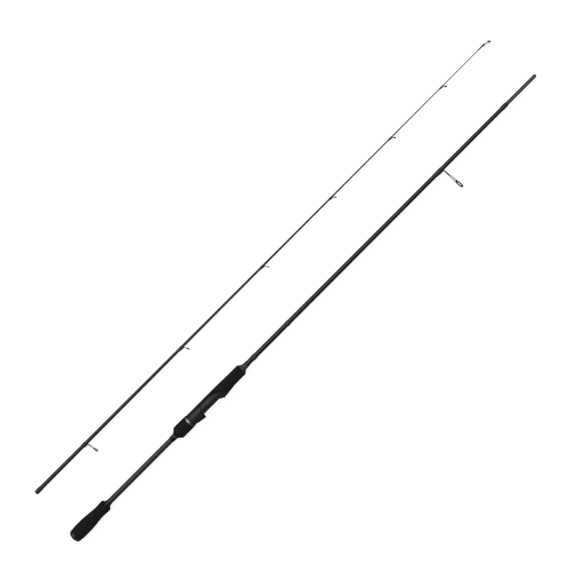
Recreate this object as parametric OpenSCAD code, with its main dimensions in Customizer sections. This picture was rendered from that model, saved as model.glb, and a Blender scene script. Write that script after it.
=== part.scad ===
// Two-piece spinning rod, taken down, with its two sections side by side.
// Both sections lie along X with their tips towards +X and their guides towards -Y.
// The origin is under the middle of the whole, on the surface that the rod lies on.

/* [Layout] */
// Distance between the axes of the two sections
section_gap = 99; // [60:0.1:140]
// How far the tip section's base lies ahead of the butt end
tip_section_start = 4; // [0:0.1:40]

/* [Butt section] */
// Length of the butt blank, from the butt end to the ferrule shoulder
shoulder_x = 1038; // [1000:1:1100]
// Outer diameter of the butt blank at the butt end
butt_od_rear = 9.85; // [9.6:0.01:10]
// Outer diameter of the butt blank at the ferrule shoulder
butt_od_front = 7.2; // [7.2:0.01:7.6]
// Wall of the butt blank at the butt end
butt_wall = 0.95; // [0.8:0.05:1.2]

/* [Ferrule] */
// Diameter of the spigot
spigot_d = 6.5; // [6.2:0.01:6.5]
// Length of the spigot that stands out of the butt blank
spigot_reach = 69; // [60:0.1:80]
// Length of the spigot that is glued inside the butt blank
spigot_inside = 60; // [40:1:80]
// Radial clearance between the spigot and its socket
ferrule_clearance = 0.03; // [0.01:0.005:0.05]

/* [Tip section] */
// Length of the tip blank, from its base to its thin end
tip_length = 1082; // [1080:0.5:1082]
// Outer diameter of the tip blank at its base
tip_od_base = 7.4; // [7.4:0.05:7.8]
// Outer diameter of the tip blank at its thin end
tip_od_end = 1.5; // [1.2:0.05:1.6]
// Bend of the taper: 1 is a straight cone, more thins the blank sooner
tip_taper_power = 1.3; // [1.1:0.1:1.5]

/* [Rear grip] */
// Greatest diameter of the rear grip
rear_grip_d = 25; // [24:0.1:26]
// Diameter of the rear grip's waist
rear_grip_waist_d = 19.9; // [18:0.1:22]
// Length of the butt cap
cap_length = 8; // [7:0.5:12]

/* [Reel seat] */
// Outer diameter of the reel seat and of the movable hood
seat_d = 22.1; // [21.8:0.1:22.4]
// Distance from the axis to the flat that the reel foot lies on
saddle_y = 8; // [7.8:0.1:8.2]
// Crest diameter of the barrel's thread
thread_d = 18.4; // [18.2:0.1:18.4]
// Pitch of the barrel's thread
thread_pitch = 1.5; // [1:0.1:2]
// Diameter of the locking nut's foam sleeve
nut_d = 24; // [23.6:0.1:24.4]
// How far the locking nut and the movable hood run back
hood_travel = 18; // [6:1:18]

/* [Stripper guide] */
// Distance from the butt end to the foot of the stripper guide's legs
stripper_x = 882.8; // [800:0.1:920]
// Height of the stripper ring's centre over the blank's axis
stripper_height = 38.9; // [30:0.1:44]
// Outer diameter of the stripper ring's holder
stripper_od = 16.2; // [14:0.1:18]
// Diameter of the hole through the stripper ring
stripper_hole = 11; // [9:0.1:11.4]
// Lean of the stripper guide towards the tip, in degrees
stripper_lean = 4; // [3:1:15]

/* [Running guides] */
// Distance from the tip section's base to the legs of each running guide
guide_x = [121, 354, 549.8, 715.6, 859.2, 982.6];
// Height of each running ring's centre over the blank's axis
guide_height = [20.2, 9.7, 7.6, 5, 4.7, 4.5];
// Outer diameter of each running ring's holder
guide_od = [8.5, 6.8, 5.8, 5, 5, 5];
// Diameter of the hole through each running ring
guide_hole = [5.7, 4.4, 3.7, 3.1, 3.1, 3.1];
// Lean of each running guide towards the tip, in degrees
guide_lean = [9, 25, 27, 34, 33, 33];

/* [Tip top] */
// Distance from the tip section's base to the centre of the tip-top ring
tip_ring_x = 1091.7; // [1091:0.1:1094]
// Distance of the tip-top ring's centre below the blank's axis
tip_ring_height = 2.7; // [2.5:0.1:3]
// Outer diameter of the tip-top ring's holder
tip_ring_od = 6; // [5.6:0.1:6.2]
// Diameter of the hole through the tip-top ring
tip_ring_hole = 3.8; // [3.4:0.1:4]
// Lean of the tip-top ring, in degrees
tip_ring_lean = 30; // [26:1:36]

/* [Hidden] */
$fn = 64;

// Colours
c_blank = [0.14, 0.14, 0.15];
c_spigot = [0.36, 0.34, 0.30];
c_foam = [0.10, 0.10, 0.10];
c_seat = [0.24, 0.25, 0.25];
c_rubber = [0.13, 0.13, 0.13];
c_silver = [0.78, 0.78, 0.78];
c_dark_metal = [0.33, 0.33, 0.35];
c_gun = [0.25, 0.25, 0.27];
c_ceramic = [0.06, 0.06, 0.06];
c_thread = [0.08, 0.08, 0.09];
c_arbor = [0.72, 0.66, 0.52];

// Glue line between a blank and what is fixed on it
glue = 0.04;
// Gap between pieces of different bodies, radially and end to end
run_gap = 0.15;
end_gap = 0.3;
// Steps along a round outline
arc_steps = 8;
grip_steps = 20;

// Derived places of the two sections
seat_r = seat_d / 2;
cap_r = rear_grip_d / 2 - 0.75;
socket_wrap_r = tip_od_base / 2 + 0.5;
guide_1_r = guide_od[0] / 2;
stripper_reach = stripper_height + stripper_od / 2 * cos(stripper_lean);
y_low = -stripper_reach - holder_width(stripper_od) / 2 * sin(stripper_lean);
y_high = section_gap + socket_wrap_r;
whole_length = shoulder_x + spigot_reach;
butt_origin = [-whole_length / 2, -(y_low + y_high) / 2, rear_grip_d / 2];
tip_origin = butt_origin + [tip_section_start, section_gap, guide_1_r - rear_grip_d / 2];

// Stations along the butt section
blank_start = 13;
rear_grip_end = 77;
rear_waist_x = 63;
rear_full_x = 26;
rear_collar_x = 74;
rear_check_end = 85.5;
seat_check_start = 233;
nut_start = 244;
nut_full_x = 250.2;
nut_ring_start = 275.4;
nut_ring_end = 279.2;
nut_end = 280;
// Length of thread that the nut still holds when it is run right back
thread_hold = 4.7;
barrel_start = nut_end - hood_travel - thread_hold;
hood_start = nut_end + end_gap;
hood_pocket_start = 287;
fixed_mouth_x = 340.7;
fixed_lip_x = 347.9;
fixed_pocket_end = 357;
seat_core_end = 396;
fore_grip_end = 401.8;

// Blank outlines
function butt_r(x) = (butt_od_rear + (butt_od_front - butt_od_rear) * x / shoulder_x) / 2;
function tip_r(x) = (tip_od_end + (tip_od_base - tip_od_end)
    * pow(max(0, 1 - x / tip_length), tip_taper_power)) / 2;
function smooth(u) = (1 - cos(180 * min(1, max(0, u)))) / 2;
function blend(a, b, u) = a + (b - a) * smooth(u);

// Quarter round from one point to another, bulging away from the corner that is opposite "bulge"
function round_off(p, q, bulge) = let (c = p + q - bulge)
    [for (i = [0 : arc_steps]) let (a = 90 * i / arc_steps)
        c + (p - c) * cos(a) + (q - c) * sin(a)];

// Guide proportions, from the holder's outer diameter
function holder_wall(od) = 0.3 + od * 0.03;
function holder_width(od) = 0.9 + od * 0.05;
function ceramic_r(od) = od / 2 - holder_wall(od);
function ceramic_width(od) = holder_width(od) + 0.35;
function wire_r(od) = 0.3 + od * 0.022;
function foot_width(od) = 1.5 + od * 0.11;
foot_thickness = 0.75;

// ---------- helpers ----------

module in_butt() {
    translate(butt_origin) children();
}

module in_tip() {
    translate(tip_origin) children();
}

// Turned solid about X; the outline is a closed list of [x, radius]
module turned(outline) {
    rotate([0, 90, 0]) rotate_extrude() polygon([for (p = outline) [p[1], p[0]]]);
}

// Sleeve about X with an outer outline and a bore that may taper
module sleeve(outer, bore_first, bore_last) {
    first = outer[0];
    last = outer[len(outer) - 1];
    turned(concat(outer, [[last[0], bore_last], [first[0], bore_first]]));
}

module rod_x(x1, x2, r) {
    translate([x1, 0, 0]) rotate([0, 90, 0]) cylinder(h = x2 - x1, r = r);
}

// Straight round wire between two points
module wire(p, q, r) {
    d = q - p;
    translate(p) rotate([0, acos(d[2] / norm(d)), atan2(d[1], d[0])]) cylinder(h = norm(d), r = r);
}

// Cylinder that leans in the XY plane: its axis passes through [x, y] with the given slope
module leaning_rod(x, y, slope, r, back, ahead) {
    translate([x, y, 0]) rotate([0, 0, slope]) rod_x(-back, ahead, r);
}

// Everything on the guide side of a plane, for x1 to x2
module guide_side(x1, x2, y) {
    translate([x1, y - 30, -20]) cube([x2 - x1, 30, 40]);
}

// ---------- rear grip ----------

module butt_cap() {
    plug_r = butt_r(blank_start) - butt_wall - 0.1;
    plug_end = 26;
    edge = 3.8;
    outline = concat([[0, 0], [0, cap_r - edge]],
        round_off([0, cap_r - edge], [edge, cap_r], [edge, cap_r - edge] - [edge, -edge]),
        [[cap_length, cap_r], [cap_length, plug_r], [plug_end, plug_r], [plug_end, 0]]);
    color(c_rubber) in_butt() turned(outline);
}

function rear_grip_r(x) = x < rear_waist_x
    ? blend(rear_grip_d, rear_grip_waist_d, (x - rear_full_x) / (rear_waist_x - rear_full_x)) / 2
    : blend(rear_grip_waist_d, rear_grip_waist_d + 1.2,
        (x - rear_waist_x) / (rear_collar_x - rear_waist_x)) / 2;

module rear_grip() {
    // The rounded ends take this much off the length and off the radius
    back_edge = 1.2;
    front_edge = 1.9;
    collar_end = rear_grip_end - front_edge;
    front_r = rear_grip_r(collar_end);
    outline = concat(
        [[cap_length, cap_r], [cap_length + back_edge, rear_grip_r(cap_length) - 0.25]],
        [for (i = [0 : grip_steps])
            let (x = cap_length + 3 + (collar_end - cap_length - 3) * i / grip_steps) [x, rear_grip_r(x)]],
        [[collar_end + front_edge * 0.6, front_r - 0.45], [rear_grip_end, front_r - front_edge]]);
    color(c_foam) in_butt() difference() {
        sleeve(outline, butt_r(cap_length) + glue, butt_r(rear_grip_end) + glue);
        // Room for the butt cap's plug where the blank has not yet begun
        rod_x(cap_length - 1, blank_start, butt_r(blank_start) + glue);
    }
}

// Trumpet-shaped collar: an outline that falls fast and then runs out along the blank
function trumpet(x1, r1, x2, r2) = [for (i = [0 : arc_steps])
    let (u = i / arc_steps) [x1 + (x2 - x1) * u, r2 + (r1 - r2) * pow(1 - u, 2.4)]];

module rear_grip_check() {
    rim = 0.8;
    rim_r = 7.8;
    outline = concat([[rear_grip_end, rim_r]],
        trumpet(rear_grip_end + rim, rim_r, rear_check_end, butt_r(rear_check_end) + 0.25));
    color(c_rubber) in_butt() sleeve(outline, butt_r(rear_grip_end) + glue, butt_r(rear_check_end) + glue);
}

// ---------- butt blank and ferrule ----------

// The part of the spigot that is glued into the butt is turned down a little
shank_r = spigot_d / 2 - 0.25;

module butt_blank() {
    socket_r = shank_r + 0.02;
    seat_end = shoulder_x - spigot_inside - 2;
    color(c_blank) in_butt() turned([
        [blank_start, butt_r(blank_start)],
        [shoulder_x, butt_r(shoulder_x)],
        [shoulder_x, socket_r],
        [seat_end, socket_r],
        [blank_start, butt_r(blank_start) - butt_wall]]);
}

module ferrule_spigot() {
    tip_x = shoulder_x + spigot_reach;
    bore_r = 1.8;
    plug = 8;
    nose = 1.4;
    color(c_spigot) in_butt() turned([
        [shoulder_x - spigot_inside, bore_r],
        [shoulder_x - spigot_inside, shank_r],
        [shoulder_x + 0.02, shank_r],
        [shoulder_x + 0.02, spigot_d / 2],
        [tip_x - nose, spigot_d / 2],
        [tip_x, spigot_d / 2 - nose],
        [tip_x, 0],
        [tip_x - plug, 0],
        [tip_x - plug, bore_r]]);
}

// Thread wrap under varnish: a sleeve with rounded shoulders
module wrap_sleeve(x1, x2, blank_r, swell) {
    n = 6;
    rise = min(3, (x2 - x1) * 0.3);
    lip = 0.06;
    r1 = blank_r + glue + lip;
    r2 = blank_r + swell;
    outline = concat(
        [for (i = [0 : n]) [x1 + rise * i / n, blend(r1, r2, i / n)]],
        [for (i = [0 : n]) [x2 - rise + rise * i / n, blend(r2, r1, i / n)]]);
    sleeve(outline, blank_r + glue, blank_r + glue);
}

module trim_wrap_rear() {
    start = 426;
    end = 436;
    color(c_thread) in_butt() wrap_sleeve(start, end, butt_r(start), 0.55);
}

module trim_wrap_front() {
    start = 508;
    end = 516.5;
    color(c_thread) in_butt() wrap_sleeve(start, end, butt_r(start), 0.5);
}

module ferrule_wrap() {
    end = shoulder_x - 0.4;
    start = end - 13;
    color(c_thread) in_butt() wrap_sleeve(start, end, butt_r(start), 0.5);
}

// ---------- reel seat ----------

// The hood's front edge follows this upright cylinder on the guide side, and an upright plane on the other
seam_centre = [320.1, -9.4];
seam_r = 17.5;
seam_top_x = 311;
seam_gap = 1;
// The foam and the bare seat meet on this upright cylinder
foam_centre = [309.9, -78.3];
foam_r = 86.5;

module upright(centre, r) {
    translate([centre[0], centre[1], -20]) cylinder(h = 40, r = r, $fn = 128);
}

// Everything ahead of the seam's upright plane
module ahead_of_plane() {
    translate([seam_top_x, -30, -20]) cube([fore_grip_end + 1 - seam_top_x, 60, 40]);
}

// Where the fore grip is foam and not bare seat
module foam_side() {
    difference() {
        ahead_of_plane();
        upright(foam_centre, foam_r);
    }
}

function fore_r(x) = blend(seat_r, 10.3, (x - 345) / 45);

// Outside of the fore grip, with the raised brow over the fixed hood
brow_x = 349.2;
brow_y = -3.9;
brow_slope = 6.1;
brow_r = 9.3;
brow_wall = 0.9;

module fore_outside() {
    edge = 1;
    start = 300;
    turned(concat([[start, 0], [start, seat_r]],
        [for (i = [0 : grip_steps])
            let (x = 345 + (fore_grip_end - edge - 345) * i / grip_steps) [x, fore_r(x)]],
        [[fore_grip_end - edge * 0.3, fore_r(fore_grip_end) - edge * 0.35],
            [fore_grip_end, fore_r(fore_grip_end) - edge * 0.8],
            [fore_grip_end, 0]]));
    difference() {
        leaning_rod(brow_x, brow_y, brow_slope, brow_r, 12, 34);
        // The mouth of the fixed hood slants forward towards its lip
        translate([fixed_mouth_x, -saddle_y, -20]) rotate([0, 0, -31.8])
            translate([-30, -30, 0]) cube([38, 30, 40]);
        translate([300, -40, -20]) cube([fixed_mouth_x - 300, 80, 40]);
    }
}

core_r = 8.3;
seat_bore_r = 6.9;
// The raised flat for the reel foot, and how far the floors under the hoods lie below it
saddle_start = 303;
saddle_end = 340.1;
floor_drop = 0.3;

// Threaded barrel, as ridges one pitch apart
module barrel() {
    crest = thread_d / 2;
    root = crest - 0.6;
    end = 304;
    turns = floor((end - barrel_start - 2) / thread_pitch);
    ridges = [for (i = [0 : turns - 1]) for (s = [[0.1, root], [0.4, crest], [0.6, crest], [0.9, root]])
        [barrel_start + 1 + (i + s[0]) * thread_pitch, s[1]]];
    turned(concat([[barrel_start, 0], [barrel_start, root]], ridges,
        [[end, root], [end + 6, root], [end + 6, 0]]));
}

module seat_body() {
    color(c_seat) in_butt() difference() {
        union() {
            barrel();
            difference() {
                intersection() {
                    fore_outside();
                    union() {
                        upright(seam_centre, seam_r);
                        ahead_of_plane();
                    }
                }
                foam_side();
            }
            rod_x(304, seat_core_end, core_r);
        }
        // Flat that the reel foot rests on, between the hoods
        guide_side(barrel_start - 1, fixed_mouth_x, -saddle_y);
        // Lower floors under the two hoods
        guide_side(barrel_start - 1, saddle_start, -saddle_y + floor_drop);
        guide_side(saddle_end, fixed_mouth_x, -saddle_y + floor_drop);
        // Pocket of the fixed hood
        intersection() {
            leaning_rod(brow_x, brow_y, brow_slope, brow_r - brow_wall, 12, 12);
            guide_side(fixed_mouth_x - 1, fixed_pocket_end, -saddle_y + floor_drop);
        }
        rod_x(barrel_start - 1, seat_core_end + 1, seat_bore_r);
    }
}

module fixed_hood_cushion() {
    thick = 0.4;
    color(c_rubber) in_butt() intersection() {
        difference() {
            leaning_rod(brow_x, brow_y, brow_slope, brow_r - brow_wall - 0.02, 12, 12);
            leaning_rod(brow_x, brow_y, brow_slope, brow_r - brow_wall - thick, 13, 13);
        }
        guide_side(fixed_lip_x + 0.6, fixed_pocket_end - 0.1, -saddle_y - 1.2);
    }
}

module arbor(x1, x2) {
    color(c_arbor) in_butt() sleeve([[x1, seat_bore_r - 0.02], [x2, seat_bore_r - 0.02]],
        butt_r(x1) + glue, butt_r(x2) + glue);
}

module seat_arbor_rear() {
    arbor(barrel_start + 1, 297);
}

module seat_arbor_front() {
    arbor(338, 390);
}

module seat_rear_check() {
    sleeve_r = 6.05;
    start_r = butt_r(seat_check_start) + 0.3;
    color(c_rubber) in_butt() sleeve([
        [seat_check_start, start_r],
        [seat_check_start + 3.2, 5.25],
        [seat_check_start + 8.5, 5.6],
        [seat_check_start + 11.5, sleeve_r],
        [barrel_start - 0.1, sleeve_r]], butt_r(seat_check_start) + glue, butt_r(barrel_start) + glue);
}

module fore_grip() {
    color(c_foam) in_butt() difference() {
        intersection() {
            fore_outside();
            foam_side();
        }
        rod_x(seam_top_x - 1, seat_core_end + 0.05, core_r + 0.02);
        rod_x(seat_core_end - 1, fore_grip_end + 1, butt_r(seat_core_end) + glue);
    }
}

module fore_grip_check() {
    start = fore_grip_end + 0.02;
    // Two narrow lands with a slope before each
    outline = [[start, 9], [start + 0.3, 9.2], [start + 1.6, 7.7], [start + 2.8, 7.7], [start + 3, 7.2],
        [start + 4.4, 5.9], [start + 5.8, 5.9], [start + 6, 5.5]];
    color(c_dark_metal) in_butt() sleeve(outline, butt_r(fore_grip_end) + glue, butt_r(fore_grip_end) + glue);
}

module fore_check_ring() {
    start = fore_grip_end + 6.1;
    end = start + 4.6;
    r = 5.3;
    bevel = 0.3;
    outline = [[start, r - bevel], [start + bevel, r], [end - bevel, r], [end, r - bevel]];
    color(c_dark_metal) in_butt() sleeve(outline, butt_r(start) + glue, butt_r(start) + glue);
}

module fore_trim_wrap() {
    start = fore_grip_end + 10.8;
    color(c_thread) in_butt() wrap_sleeve(start, start + 5, butt_r(start), 0.7);
}

// ---------- movable hood ----------

hood_brow_x = 281;
hood_brow_y = -1.6;
hood_brow_slope = -9.2;
hood_brow_r = 9.6;
hood_wall = 0.9;
hood_bore_r = thread_d / 2 + run_gap;

module hood_brow(r) {
    leaning_rod(hood_brow_x, hood_brow_y, hood_brow_slope, r, 4, 34);
}

module movable_hood() {
    groove = 0.5;
    lip_end = 301.5;
    color(c_seat) in_butt() difference() {
        union() {
            difference() {
                rod_x(hood_start, seam_top_x - seam_gap, seat_r);
                // Groove round the hood's collar
                rotate([0, 90, 0]) translate([0, 0, hood_start + 4.7])
                    rotate_extrude() translate([seat_r, 0]) circle(r = groove, $fn = 24);
            }
            intersection() {
                hood_brow(hood_brow_r);
                guide_side(hood_start + 5.3, lip_end, 6);
            }
        }
        upright(seam_centre, seam_r + seam_gap);
        // Bore over the barrel, with a flat behind the pocket that keeps the hood from turning
        difference() {
            rod_x(hood_start - 1, 313, hood_bore_r);
            guide_side(hood_start - 2, hood_pocket_start, -saddle_y + floor_drop - run_gap);
        }
        // Pocket that takes the reel foot
        intersection() {
            hood_brow(hood_brow_r - hood_wall);
            guide_side(hood_pocket_start, 320, -saddle_y + 3);
        }
        guide_side(lip_end, 320, -saddle_y);
    }
}

module movable_hood_cushion() {
    thick = 0.4;
    color(c_rubber) in_butt() intersection() {
        difference() {
            hood_brow(hood_brow_r - hood_wall - 0.02);
            hood_brow(hood_brow_r - hood_wall - thick);
        }
        guide_side(hood_pocket_start + 5, 299.6, -hood_bore_r - 0.35);
    }
}

// ---------- locking nut ----------

nut_core_r = 10.3;
nut_mouth_r = 6.4;

module seat_nut() {
    wall_start = nut_full_x - 0.5;
    wall_end = wall_start + 2;
    // Lip in front of the trim ring
    flange_r = nut_d / 2 - 0.5;
    color(c_seat) in_butt() turned([
        [wall_start, nut_mouth_r],
        [wall_start, nut_core_r],
        [nut_ring_end + 0.02, nut_core_r],
        [nut_ring_end + 0.02, flange_r],
        [nut_end - 0.3, flange_r],
        [nut_end, flange_r - 0.3],
        [nut_end, hood_bore_r],
        [wall_end, hood_bore_r],
        [wall_end, nut_mouth_r]]);
}

module nut_grip() {
    wall_start = nut_full_x - 0.5;
    r = nut_d / 2;
    color(c_foam) in_butt() turned([
        [nut_start, nut_mouth_r],
        [nut_start, nut_mouth_r + 0.3],
        [nut_full_x - 1, r - 0.9],
        [nut_full_x - 0.2, r - 0.3],
        [nut_full_x + 0.9, r],
        [nut_ring_start - 0.5, r],
        [nut_ring_start, r - 0.4],
        [nut_ring_start, nut_core_r + 0.02],
        [wall_start - 0.02, nut_core_r + 0.02],
        [wall_start - 0.02, nut_mouth_r]]);
}

module nut_trim_ring() {
    r = nut_d / 2 - 0.2;
    bevel = 0.35;
    color(c_silver) in_butt() sleeve([
        [nut_ring_start + 0.02, r - bevel],
        [nut_ring_start + bevel, r],
        [nut_ring_end - bevel, r],
        [nut_ring_end, r - bevel]], nut_core_r + 0.02, nut_core_r + 0.02);
}

// ---------- guides ----------

// A guide's frame at x = 0 on a blank of this radius: foot, two legs and the ring's holder
function ring_rise(blank_r, height, lean) = (height - blank_r - 0.4) / cos(lean);
function ring_centre(blank_r, height, lean) = let (rise = ring_rise(blank_r, height, lean))
    [rise * sin(lean), -blank_r - 0.4 - rise * cos(lean), 0];

// Outer foot profile in the XY plane, thin at the back
module guide_foot(blank_r, od, foot_length) {
    y = -blank_r - glue;
    translate([0, 0, -foot_width(od) / 2]) linear_extrude(height = foot_width(od)) polygon([
        [-foot_length, y], [-foot_length, y - 0.2], [-foot_length * 0.45, y - foot_thickness * 0.8],
        [-0.4, y - foot_thickness], [0.5, y - foot_thickness], [0.5, y]]);
}

// Ring holder with rounded edges, about the ring's own axis
module holder(od) {
    w = holder_width(od) / 2;
    wall = holder_wall(od);
    e = 0.18;
    inner = ceramic_r(od) + 0.02;
    outer = od / 2;
    rotate_extrude() polygon([[inner, -w], [outer - e, -w], [outer, -w + e],
        [outer, w - e], [outer - e, w], [inner, w]]);
}

module at_ring(blank_r, height, lean) {
    translate(ring_centre(blank_r, height, lean)) rotate([0, 90, lean]) children();
}

// How far round the holder a leg joins it, from the point nearest to the blank
function leg_turn(rise, mid) = 0.85 * acos(mid / rise);

module guide_frame(blank_r, height, lean, od, foot_length) {
    r = wire_r(od);
    bury = holder_wall(od) / 2;
    mid = ceramic_r(od) + bury;
    out = [sin(lean), -cos(lean), 0];
    centre = ring_centre(blank_r, height, lean);
    turn = leg_turn(ring_rise(blank_r, height, lean), mid);
    guide_foot(blank_r, od, foot_length);
    at_ring(blank_r, height, lean) holder(od);
    for (side = [-1, 1]) {
        root = [0, -blank_r - glue - r - 0.07, side * (foot_width(od) / 2 - r)];
        top = centre - out * mid * cos(turn) + [0, 0, side * mid * sin(turn)];
        translate(root) sphere(r = r + 0.04);
        // Each leg runs a little way into the holder's wall and stops there
        difference() {
            wire(root, top + (top - root) / norm(top - root), r);
            at_ring(blank_r, height, lean) translate([0, 0, -2]) cylinder(h = 4, r = mid);
        }
    }
}

// Polished ring: a straight land in the middle of the hole and round shoulders
module guide_ring(od, hole) {
    outer = ceramic_r(od);
    inner = hole / 2;
    land = 0.4;
    w = ceramic_width(od) / 2;
    shoulder = min(w - land, (outer - inner) * 0.75);
    deep = inner + shoulder;
    tall = land + shoulder;
    rotate_extrude() polygon(concat(
        round_off([inner, land], [deep, tall], [deep + shoulder, land - shoulder]),
        [[outer, w], [outer, -w]],
        round_off([deep, -tall], [inner, -land], [deep + shoulder, shoulder - land])));
}

// Wrap over a guide's foot: a sleeve that leans, so that it stands prouder over the foot's thick end
module guide_wrap(blank_r, od, foot_length) {
    n = 8;
    swell = 0.32;
    lift = foot_thickness / 2;
    start = -foot_length - 2.4;
    end = -0.7;
    length = end - start;
    slope = atan(lift / (length - 3));
    r1 = blank_r + glue + 0.06;
    r2 = blank_r + swell + lift;
    difference() {
        translate([start, 0, 0]) rotate([0, 0, -slope]) turned(concat([[0, 0]],
            [for (i = [0 : n]) [0.6 * length * i / n, blend(r1, r2, i / n)]],
            [[length - 0.5, r2], [length, r2 - 0.3], [length, 0]]));
        rod_x(start - 1, 1, blank_r + glue);
        guide_foot(blank_r, od, foot_length);
    }
}

stripper_foot = 15;

module stripper_frame() {
    color(c_gun) in_butt() translate([stripper_x, 0, 0])
        guide_frame(butt_r(stripper_x - stripper_foot), stripper_height, stripper_lean, stripper_od,
            stripper_foot);
}

module stripper_ring() {
    color(c_ceramic) in_butt() translate([stripper_x, 0, 0])
        at_ring(butt_r(stripper_x - stripper_foot), stripper_height, stripper_lean)
            guide_ring(stripper_od, stripper_hole);
}

module stripper_wrap() {
    color(c_thread) in_butt() translate([stripper_x, 0, 0])
        guide_wrap(butt_r(stripper_x - stripper_foot), stripper_od, stripper_foot);
}

// Running guides, numbered from the base of the tip section
function guide_foot_length(i) = 7 + guide_od[i] * 0.25;
function guide_blank_r(i) = tip_r(guide_x[i] - guide_foot_length(i) - 3);

module running_frame(i) {
    color(c_gun) in_tip() translate([guide_x[i], 0, 0])
        guide_frame(guide_blank_r(i), guide_height[i], guide_lean[i], guide_od[i], guide_foot_length(i));
}

module running_ring(i) {
    color(c_ceramic) in_tip() translate([guide_x[i], 0, 0])
        at_ring(guide_blank_r(i), guide_height[i], guide_lean[i]) guide_ring(guide_od[i], guide_hole[i]);
}

module running_wrap(i) {
    color(c_thread) in_tip() translate([guide_x[i], 0, 0])
        guide_wrap(guide_blank_r(i), guide_od[i], guide_foot_length(i));
}

module guide_1_frame() running_frame(0);
module guide_1_ring() running_ring(0);
module guide_1_wrap() running_wrap(0);
module guide_2_frame() running_frame(1);
module guide_2_ring() running_ring(1);
module guide_2_wrap() running_wrap(1);
module guide_3_frame() running_frame(2);
module guide_3_ring() running_ring(2);
module guide_3_wrap() running_wrap(2);
module guide_4_frame() running_frame(3);
module guide_4_ring() running_ring(3);
module guide_4_wrap() running_wrap(3);
module guide_5_frame() running_frame(4);
module guide_5_ring() running_ring(4);
module guide_5_wrap() running_wrap(4);
module guide_6_frame() running_frame(5);
module guide_6_ring() running_ring(5);
module guide_6_wrap() running_wrap(5);

// ---------- tip blank ----------

module tip_blank() {
    steps = 16;
    socket_length = spigot_reach + 2;
    socket_r = spigot_d / 2 + ferrule_clearance;
    // The hollow narrows to this point, and the blank is solid beyond it
    hollow_end = 900;
    hollow_end_r = 0.3;
    hollow_start_r = tip_r(socket_length) - 0.55;
    color(c_blank) in_tip() turned(concat(
        [for (i = [0 : steps]) let (x = tip_length * i / steps) [x, tip_r(x)]],
        [[tip_length, 0], [hollow_end, 0], [hollow_end, hollow_end_r],
            [socket_length + 1, hollow_start_r], [socket_length, socket_r], [0, socket_r]]));
}

module socket_wrap() {
    end = 13.2;
    edge = 0.6;
    bore = tip_od_base / 2 + glue;
    r = socket_wrap_r;
    outline = [[0, r - edge], [edge, r - 0.1], [2 * edge, r], [end - 3, r - 0.1], [end - 1.2, r - 0.25],
        [end, bore + 0.06]];
    color(c_thread) in_tip() sleeve(outline, bore, bore);
}

// ---------- tip top ----------

tube_start = 1072.4;
tube_end = 1083;
tube_r = 1.25;

module at_tip_ring() {
    translate([tip_ring_x, -tip_ring_height, 0]) rotate([0, 90, tip_ring_lean]) children();
}

module tip_top_frame() {
    r = 0.42;
    nose = 0.5;
    out = [sin(tip_ring_lean), -cos(tip_ring_lean), 0];
    centre = [tip_ring_x, -tip_ring_height, 0];
    mid = ceramic_r(tip_ring_od) + holder_wall(tip_ring_od) / 2;
    leg_spread = 62;
    bore_r = tip_r(tube_start) + 0.02;
    color(c_gun) in_tip() {
        turned([[tube_start, bore_r], [tube_start, tube_r], [tube_end, tube_r],
            [tube_end + nose, tube_r - 0.2], [tube_end + nose, 0],
            [tip_length + 0.05, 0], [tip_length + 0.05, bore_r]]);
        at_tip_ring() holder(tip_ring_od);
        difference() {
            union() {
                for (side = [-1, 1]) {
                    root = [tube_end - 1, -0.1, side * (tube_r - r + 0.02)];
                    top = centre - out * mid * cos(leg_spread) + [0, 0, side * mid * sin(leg_spread)];
                    wire(root, top + (top - root) / norm(top - root), r);
                }
                // Brace from under the tube to the far side of the holder
                wire([tube_start + 5, -tube_r + 0.1, 0], centre + out * mid, r);
            }
            at_tip_ring() translate([0, 0, -1.1]) cylinder(h = 2.2, r = mid);
            rod_x(tube_start - 1, tip_length + 0.05, bore_r + 0.1);
        }
    }
}

module tip_top_ring() {
    color(c_ceramic) in_tip() at_tip_ring() guide_ring(tip_ring_od, tip_ring_hole);
}

module tip_top_wrap() {
    start = 1066.5;
    color(c_thread) in_tip() wrap_sleeve(start, tube_start - 0.05, tip_r(start), 0.35);
}

// ---------- assembly ----------

butt_cap();
rear_grip();
rear_grip_check();
butt_blank();
seat_rear_check();
seat_body();
fixed_hood_cushion();
seat_arbor_rear();
seat_arbor_front();
fore_grip();
fore_grip_check();
fore_check_ring();
fore_trim_wrap();
movable_hood();
movable_hood_cushion();
seat_nut();
nut_grip();
nut_trim_ring();
trim_wrap_rear();
trim_wrap_front();
stripper_frame();
stripper_ring();
stripper_wrap();
ferrule_wrap();
ferrule_spigot();
tip_blank();
socket_wrap();
guide_1_frame();
guide_1_ring();
guide_1_wrap();
guide_2_frame();
guide_2_ring();
guide_2_wrap();
guide_3_frame();
guide_3_ring();
guide_3_wrap();
guide_4_frame();
guide_4_ring();
guide_4_wrap();
guide_5_frame();
guide_5_ring();
guide_5_wrap();
guide_6_frame();
guide_6_ring();
guide_6_wrap();
tip_top_frame();
tip_top_ring();
tip_top_wrap();
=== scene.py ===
"""A two-piece spinning rod, taken down and laid on a pale floor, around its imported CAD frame."""

import math

import bpy
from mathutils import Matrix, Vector


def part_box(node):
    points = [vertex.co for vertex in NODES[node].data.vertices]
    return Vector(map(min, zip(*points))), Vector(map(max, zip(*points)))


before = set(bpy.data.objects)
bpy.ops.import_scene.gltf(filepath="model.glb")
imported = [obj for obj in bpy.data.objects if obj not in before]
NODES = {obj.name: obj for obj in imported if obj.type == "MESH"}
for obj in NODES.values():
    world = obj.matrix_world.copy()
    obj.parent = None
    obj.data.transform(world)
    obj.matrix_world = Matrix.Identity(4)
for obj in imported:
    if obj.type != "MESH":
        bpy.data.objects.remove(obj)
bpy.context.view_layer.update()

MM = 0.001


def centre(node):
    low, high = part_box(node)
    return (low + high) / 2


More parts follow.
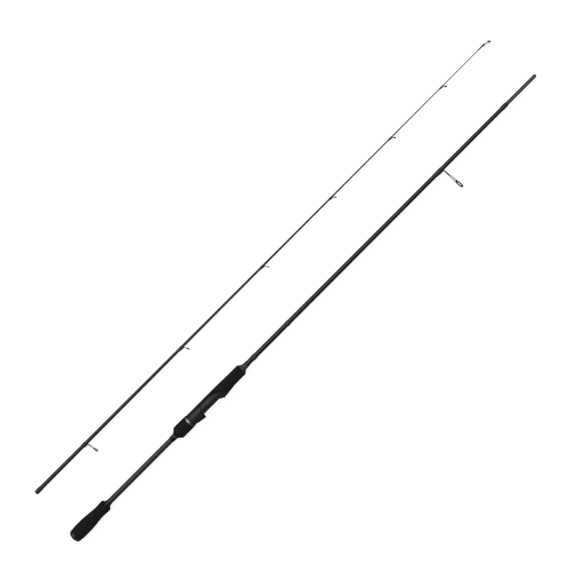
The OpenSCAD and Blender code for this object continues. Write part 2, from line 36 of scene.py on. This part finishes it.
# The two sections' axes, in metres
BUTT_AXIS = centre("butt_blank")
TIP_AXIS = centre("tip_blank")


# ---------- materials ----------


class Graph:
    """One procedural material, built from the shader backwards."""

    def __init__(self, name, **shader):
        self.material = bpy.data.materials.new(name)
        self.material.use_nodes = True
        self.tree = self.material.node_tree
        self.shader = self.tree.nodes["Principled BSDF"]
        for key, value in shader.items():
            self.shader.inputs[key.replace("_", " ")].default_value = value

    def add(self, kind, inputs=None, **settings):
        node = self.tree.nodes.new(kind)
        for key, value in settings.items():
            setattr(node, key, value)
        for key, value in (inputs or {}).items():
            if isinstance(value, bpy.types.NodeSocket):
                self.tree.links.new(value, node.inputs[key])
            else:
                node.inputs[key].default_value = value
        return node

    def math(self, operation, a, b=0.0):
        return self.add("ShaderNodeMath", {0: a, 1: b}, operation=operation).outputs[0]

    def place(self):
        """Object coordinates in millimetres."""
        coords = self.add("ShaderNodeTexCoord").outputs["Object"]
        return self.add("ShaderNodeVectorMath", {0: coords, "Scale": 1 / MM}, operation="SCALE").outputs[0]

    def around(self, axis):
        """Distance along a section in millimetres, and the angle around it in turns."""
        split = self.add("ShaderNodeSeparateXYZ", {0: self.place()})
        y = self.math("SUBTRACT", split.outputs[1], axis.y / MM)
        z = self.math("SUBTRACT", split.outputs[2], axis.z / MM)
        turns = self.math("DIVIDE", self.math("ARCTAN2", z, y), math.tau)
        return split.outputs[0], turns

    def vector(self, x, y, z=0.0):
        return self.add("ShaderNodeCombineXYZ", {0: x, 1: y, 2: z}).outputs[0]

    def noise(self, where, scale, detail=3.0, roughness=0.55):
        node = self.add("ShaderNodeTexNoise",
                        {"Vector": where, "Scale": scale, "Detail": detail, "Roughness": roughness})
        return node.outputs["Fac"]

    def cells(self, where, scale):
        return self.add("ShaderNodeTexVoronoi", {"Vector": where, "Scale": scale}).outputs["Distance"]

    def spread(self, value, low, high, to_low=0.0, to_high=1.0):
        """Maps a range of a value onto another, clamped."""
        node = self.add("ShaderNodeMapRange", {"Value": value, "From Min": low, "From Max": high,
                                               "To Min": to_low, "To Max": to_high})
        return node.outputs[0]

    def band(self, along, middle, half, soft=0.15):
        """1 near a station along the section, and 0 away from it."""
        away = self.math("ABSOLUTE", self.math("SUBTRACT", along, middle))
        return self.spread(away, half, half + soft, 1.0, 0.0)

    def mix(self, factor, first, second):
        """Blends two colours, each of which is three numbers or the output of another mix."""
        ends = [(*end, 1) if isinstance(end, tuple) else end for end in (first, second)]
        inputs = {"Factor": factor, 6: ends[0], 7: ends[1]}
        return self.add("ShaderNodeMix", inputs, data_type="RGBA").outputs[2]

    def colour(self, factor, dark, light):
        self.set("Base Color", self.mix(factor, dark, light))

    def bump(self, height, distance, strength=1.0, under=None):
        inputs = {"Height": height, "Distance": distance, "Strength": strength}
        if under is not None:
            inputs["Normal"] = under
        return self.add("ShaderNodeBump", inputs).outputs[0]

    def set(self, socket, value):
        self.tree.links.new(value, self.shader.inputs[socket])


# Pitches around the blanks, in mm: of the shrink tape's marks, and of the wound thread
TAPE_PITCH = 3.2
THREAD_PITCH = 0.16

# Tints, linear
DARK_PLATING = (0.048, 0.048, 0.046)
CHECK_METAL = (0.088, 0.088, 0.08)
SILVER = (0.53, 0.53, 0.51)
REAR_THREAD = (0.055, 0.051, 0.051)
FRONT_THREAD = (0.06, 0.04, 0.04)


def wave(g, along, pitch):
    """A sine of this pitch, from -1 to 1."""
    return g.math("SINE", g.math("MULTIPLY", along, math.tau / pitch))


def blank_material(name, axis, unevenness, painted_light_end=None):
    """Clear-coated carbon: fibres along the blank, and faint spiral marks of the shrink tape.

    From the rear up to the painted light's end, a station in mm, the carbon is painted paler: painted
    light, standing in for the brighter highlight there."""
    g = Graph(name, Roughness=0.4, IOR=1.5, Coat_Weight=0.82, Coat_Roughness=0.2)
    along, turns = g.around(axis)
    fibres = g.noise(g.vector(g.math("MULTIPLY", along, 0.05), g.math("MULTIPLY", turns, 60.0)), 1.0, 4.0)
    cloth = g.noise(g.vector(g.math("MULTIPLY", along, 0.9), g.math("MULTIPLY", turns, 20.0)), 1.0, 2.0)
    tone = g.math("ADD", g.math("MULTIPLY", fibres, 0.7), g.math("MULTIPLY", cloth, 0.3))
    share = g.spread(tone, 0.3, 0.7, 0.5 - unevenness / 2, 0.5 + unevenness / 2)
    carbon = g.mix(share, (0.0018, 0.0018, 0.002), (0.0084, 0.0084, 0.0088))
    # Painted light: the carbon behind that station is painted paler, standing in for a brighter highlight.
    if painted_light_end is not None:
        painted_lit_carbon = g.mix(share, (0.0065, 0.0065, 0.007), (0.0205, 0.0205, 0.021))
        carbon = g.mix(g.spread(along, painted_light_end - 1, painted_light_end + 1), painted_lit_carbon, carbon)
    g.set("Base Color", carbon)
    tape = wave(g, g.math("ADD", along, g.math("MULTIPLY", turns, TAPE_PITCH)), TAPE_PITCH)
    g.set("Normal", g.bump(g.math("ADD", tape, g.math("MULTIPLY", fibres, 0.6)), 0.002 * MM * unevenness))
    g.set("Roughness", g.spread(fibres, 0.2, 0.8, 0.3, 0.42))
    return g.material


def spigot_material():
    """Bare carbon, ground to size: fine turned scratches and a brownish grey."""
    g = Graph("spigot_carbon", IOR=1.6)
    along, turns = g.around(BUTT_AXIS)
    rings = g.noise(g.vector(g.math("MULTIPLY", along, 4.0), g.math("MULTIPLY", turns, 2.0)), 1.0, 6.0, 0.7)
    patches = g.noise(g.vector(g.math("MULTIPLY", along, 0.12), g.math("MULTIPLY", turns, 3.0)), 1.0, 3.0)
    tone = g.math("ADD", g.math("MULTIPLY", rings, 0.5), g.math("MULTIPLY", patches, 0.5))
    g.colour(g.spread(tone, 0.3, 0.7), (0.028, 0.025, 0.02), (0.056, 0.0505, 0.0435))
    g.set("Roughness", g.spread(rings, 0.3, 0.7, 0.34, 0.48))
    g.set("Normal", g.bump(rings, 0.02 * MM))
    return g.material


def foam_material():
    """Closed-cell foam, sanded: small open cells, a dry look and a faint uneven tone."""
    g = Graph("foam", Roughness=0.85, IOR=1.25)
    where = g.place()
    cells = g.cells(where, 2.6)
    fine = g.noise(where, 3.2, 5.0, 0.7)
    broad = g.noise(where, 0.16, 3.0)
    tone = g.math("ADD", g.math("MULTIPLY", cells, 0.5), g.math("MULTIPLY", broad, 0.6))
    g.colour(g.spread(tone, 0.25, 0.75), (0.0033, 0.0033, 0.0033), (0.0102, 0.0102, 0.0101))
    under = g.bump(cells, 0.09 * MM)
    g.set("Normal", g.bump(fine, 0.07 * MM, under=under))
    return g.material


def seat_material():
    """Graphite-filled nylon with a satin finish and a fine eggshell grain."""
    g = Graph("seat_graphite", Roughness=0.4, IOR=1.5)
    where = g.place()
    grain = g.noise(where, 5.0, 4.0, 0.6)
    broad = g.noise(where, 0.25, 2.0)
    g.colour(g.spread(broad, 0.3, 0.7), (0.0095, 0.0098, 0.01), (0.013, 0.0132, 0.0134))
    g.set("Roughness", g.spread(grain, 0.3, 0.7, 0.34, 0.46))
    g.set("Normal", g.bump(grain, 0.025 * MM))
    return g.material


def rubber_material(name, roughness, tone):
    g = Graph(name, IOR=1.5)
    where = g.place()
    grain = g.noise(where, 3.5, 5.0, 0.65)
    g.colour(g.spread(grain, 0.3, 0.7), (tone * 0.8,) * 3, (tone * 1.25,) * 3)
    g.set("Roughness", g.spread(grain, 0.3, 0.7, roughness - 0.06, roughness + 0.08))
    g.set("Normal", g.bump(grain, 0.02 * MM))
    return g.material


def painted_highlight_material(name, node, axis, painted_highlight):
    """Black plastic with a painted highlight: a paler band in its colour, standing in for light.

    The painted highlight is given by how far its middle is from the node's rear end, and half its width, in
    mm."""
    g = Graph(name, IOR=1.5)
    along, turns = g.around(axis)
    grain = g.noise(g.place(), 3.5, 5.0, 0.65)
    from_rear, half = painted_highlight
    # Painted highlight: a paler band in the base colour stands in for a highlight on the check.
    share = g.band(along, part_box(node)[0].x / MM + from_rear, half, 0.5)
    dark = g.mix(g.spread(grain, 0.3, 0.7), (0.0016, 0.0016, 0.0016), (0.003, 0.003, 0.003))
    g.set("Base Color", g.mix(share, dark, (0.024, 0.024, 0.024)))
    g.set("Roughness", g.spread(grain, 0.3, 0.7, 0.3, 0.42))
    g.set("Normal", g.bump(grain, 0.02 * MM))
    return g.material


def metal_material(name, tone, roughness, metallic, axis, bright=()):
    """Turned metal: fine rings around the section.

    With bright bands, each a middle and half a width in mm, the rest is dark plated."""
    g = Graph(name, Metallic=metallic)
    along, turns = g.around(axis)
    rings = g.noise(g.vector(g.math("MULTIPLY", along, 9.0), g.math("MULTIPLY", turns, 0.6)), 1.0, 5.0, 0.7)
    turned = g.mix(g.spread(rings, 0.3, 0.7), tuple(c * 0.86 for c in tone), tuple(c * 1.1 for c in tone))
    surface = DARK_PLATING if bright else turned
    for middle, half in bright:
        surface = g.mix(g.band(along, middle, half), surface, turned)
    g.set("Base Color", surface)
    g.set("Roughness", g.spread(rings, 0.3, 0.7, roughness - 0.05, roughness + 0.07))
    g.set("Normal", g.bump(rings, 0.008 * MM))
    return g.material


def plated_material():
    """Dark plating on the guide frames, a little uneven."""
    g = Graph("guide_plating", Metallic=0.9)
    where = g.place()
    fine = g.noise(where, 4.0, 4.0, 0.6)
    g.colour(g.spread(fine, 0.3, 0.7), (0.032, 0.032, 0.034), (0.06, 0.06, 0.064))
    g.set("Roughness", g.spread(fine, 0.3, 0.7, 0.24, 0.36))
    g.set("Normal", g.bump(fine, 0.01 * MM))
    return g.material


def ceramic_material():
    """Polished black ceramic."""
    g = Graph("guide_ceramic", IOR=1.75)
    fine = g.noise(g.place(), 6.0, 3.0)
    g.colour(g.spread(fine, 0.3, 0.7), (0.003, 0.003, 0.003), (0.007, 0.007, 0.0075))
    g.set("Roughness", g.spread(fine, 0.3, 0.7, 0.08, 0.14))
    return g.material


def thread_material(name, axis, inlay=None):
    """Black nylon thread, wound close, under a smooth coat of clear epoxy.

    An inlay is a band of metallic thread in the middle of a node: the node, its share and its tint."""
    g = Graph(name, Roughness=0.5, IOR=1.45, Coat_Weight=0.7, Coat_Roughness=0.08)
    along, turns = g.around(axis)
    thread = wave(g, g.math("ADD", along, g.math("MULTIPLY", turns, THREAD_PITCH)), THREAD_PITCH)
    fuzz = g.noise(g.vector(g.math("MULTIPLY", along, 6.0), g.math("MULTIPLY", turns, 90.0)), 1.0, 3.0)
    tone = g.math("ADD", g.math("MULTIPLY", thread, 0.2), fuzz)
    nylon = g.mix(g.spread(tone, 0.2, 0.9), (0.006, 0.006, 0.0065), (0.022, 0.022, 0.024))
    g.set("Base Color", nylon)
    if inlay:
        node, share, tint = inlay
        low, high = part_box(node)
        mask = g.band(along, (low.x + high.x) / 2 / MM, (high.x - low.x) / 2 / MM * share)
        g.set("Base Color", g.mix(mask, nylon, tint))
    g.set("Normal", g.bump(thread, 0.03 * MM))
    return g.material


def arbor_material():
    """Rigid foam of the seat's arbors, which can't be seen from outside."""
    g = Graph("arbor_foam", Roughness=0.9)
    grain = g.cells(g.place(), 2.0)
    g.colour(g.spread(grain, 0.1, 0.8), (0.42, 0.34, 0.22), (0.58, 0.5, 0.34))
    g.set("Normal", g.bump(grain, 0.1 * MM))
    return g.material


def give(material, *names):
    """Puts one material on CAD nodes."""
    for name in names:
        slots = NODES[name].data.materials
        slots.clear()
        slots.append(material)


RUNNING = range(1, 7)
REAR_INLAY = ("trim_wrap_rear", 0.08, REAR_THREAD)
FRONT_INLAY = ("trim_wrap_front", 0.1, FRONT_THREAD)
# The butt blank is painted paler behind the reel seat: painted light, standing in for a brighter highlight
# there
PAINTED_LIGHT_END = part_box("seat_arbor_rear")[1].x / MM
# The painted highlight on the check behind the nut: a paler band in its colour, standing in for light
SEAT_CHECK_PAINTED_HIGHLIGHT = (8.6, 1.6)
# The bright rims of the two metal checks: each is a station in mm, and half a width
CHECK_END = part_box("fore_grip_check")[1].x / MM
CHECK_RIMS = ((CHECK_END - 3.8, 0.6), (CHECK_END - 0.9, 0.7), (CHECK_END + 1, 0.5), (CHECK_END + 3.8, 0.7))

give(blank_material("butt_carbon", BUTT_AXIS, 1.0, PAINTED_LIGHT_END), "butt_blank")
give(blank_material("tip_carbon", TIP_AXIS, 0.5), "tip_blank")
give(spigot_material(), "ferrule_spigot")
give(foam_material(), "rear_grip", "fore_grip", "nut_grip")
give(seat_material(), "seat_body", "movable_hood", "seat_nut")
give(rubber_material("cap_rubber", 0.3, 0.0095), "butt_cap")
give(rubber_material("liner_rubber", 0.7, 0.006), "fixed_hood_cushion", "movable_hood_cushion")
give(rubber_material("check_plastic", 0.3, 0.0055), "rear_grip_check")
give(painted_highlight_material("seat_check_plastic", "seat_rear_check", BUTT_AXIS, SEAT_CHECK_PAINTED_HIGHLIGHT), "seat_rear_check")
give(metal_material("check_metal", CHECK_METAL, 0.45, 0.6, BUTT_AXIS, CHECK_RIMS),
     "fore_grip_check", "fore_check_ring")
give(metal_material("trim_silver", SILVER, 0.42, 1.0, BUTT_AXIS), "nut_trim_ring")
give(plated_material(), "stripper_frame", "tip_top_frame", *[f"guide_{i}_frame" for i in RUNNING])
give(ceramic_material(), "stripper_ring", "tip_top_ring", *[f"guide_{i}_ring" for i in RUNNING])
give(thread_material("butt_thread", BUTT_AXIS), "fore_trim_wrap", "stripper_wrap", "ferrule_wrap")
give(thread_material("trim_thread_rear", BUTT_AXIS, REAR_INLAY), "trim_wrap_rear")
give(thread_material("trim_thread_front", BUTT_AXIS, FRONT_INLAY), "trim_wrap_front")
give(thread_material("tip_thread", TIP_AXIS),
     "socket_wrap", "tip_top_wrap", *[f"guide_{i}_wrap" for i in RUNNING])
give(arbor_material(), "seat_arbor_rear", "seat_arbor_front")


# ---------- stage ----------


def floor_material():
    """A lit white table: it glows, so that the rod's shadow stays faint."""
    g = Graph("floor_table", Roughness=0.95, IOR=1.2, Emission_Color=(1, 1, 1, 1), Emission_Strength=0.8)
    grain = g.noise(g.place(), 0.02, 3.0)
    g.colour(g.spread(grain, 0.3, 0.7), (0.235, 0.235, 0.235), (0.245, 0.245, 0.245))
    return g.material


def make_floor():
    reach = 9.0
    drop = 0.2 * MM
    mesh = bpy.data.meshes.new("floor")
    corners = [(x * reach, y * reach, -drop) for x, y in ((-1, -1), (1, -1), (1, 1), (-1, 1))]
    mesh.from_pydata(corners, [], [(0, 1, 2, 3)])
    floor = bpy.data.objects.new("floor", mesh)
    floor.data.materials.append(floor_material())
    # The floor isn't mirrored in the rod: it would leave a pale rim on round dark pieces
    floor.visible_glossy = False
    bpy.context.scene.collection.objects.link(floor)


def area_light(name, place, size, watts):
    """A softbox aimed at the middle of the floor; the first size runs along the rod."""
    light = bpy.data.lights.new(name, "AREA")
    light.shape = "RECTANGLE"
    light.size, light.size_y = size
    light.energy = watts
    lamp = bpy.data.objects.new(name, light)
    lamp.location = place
    lamp.rotation_euler = (-Vector(place)).to_track_quat("-Z", "Y").to_euler()
    bpy.context.scene.collection.objects.link(lamp)
    return lamp


def make_world():
    """Pale to the camera, where it meets the floor's far edge, and dim to everything else."""
    dim = 0.05
    painted_lit_carbon = 0.815
    world = bpy.data.worlds.new("studio")
    world.use_nodes = True
    nodes, links = world.node_tree.nodes, world.node_tree.links
    background = nodes["Background"]
    background.inputs["Color"].default_value = (1, 1, 1, 1)
    path = nodes.new("ShaderNodeLightPath")
    mix = nodes.new("ShaderNodeMix")
    mix.inputs["A"].default_value = dim
    mix.inputs["B"].default_value = painted_lit_carbon
    links.new(path.outputs["Is Camera Ray"], mix.inputs["Factor"])
    links.new(mix.outputs["Result"], background.inputs["Strength"])
    bpy.context.scene.world = world


def make_camera():
    """Straight down, rolled so that the rod runs from the lower left to the upper right."""
    distance = 1.2
    field = 0.9667
    roll = math.radians(45.05)
    # Where the picture's middle falls, from the middle of the CAD box
    aim = Vector((1.4 * MM, 21.05 * MM, BUTT_AXIS.z))
    data = bpy.data.cameras.new("camera")
    data.sensor_width = 36.0
    data.lens = data.sensor_width * distance / field
    camera = bpy.data.objects.new("camera", data)
    camera.location = aim + Vector((0, 0, distance))
    camera.rotation_euler = (0, 0, -roll)
    bpy.context.scene.collection.objects.link(camera)
    bpy.context.scene.camera = camera


make_floor()
key = area_light("key_softbox", (0, 1.1, 1.9), (4.0, 2.0), 31)
fill = area_light("overhead_fill", (0, 0, 2.6), (4.2, 4.2), 100)
# The fill lights the floor and the dull surfaces, and only the key shows in the glossy ones
fill.visible_glossy = False
make_world()
make_camera()
bpy.context.scene.view_settings.view_transform = "Standard"
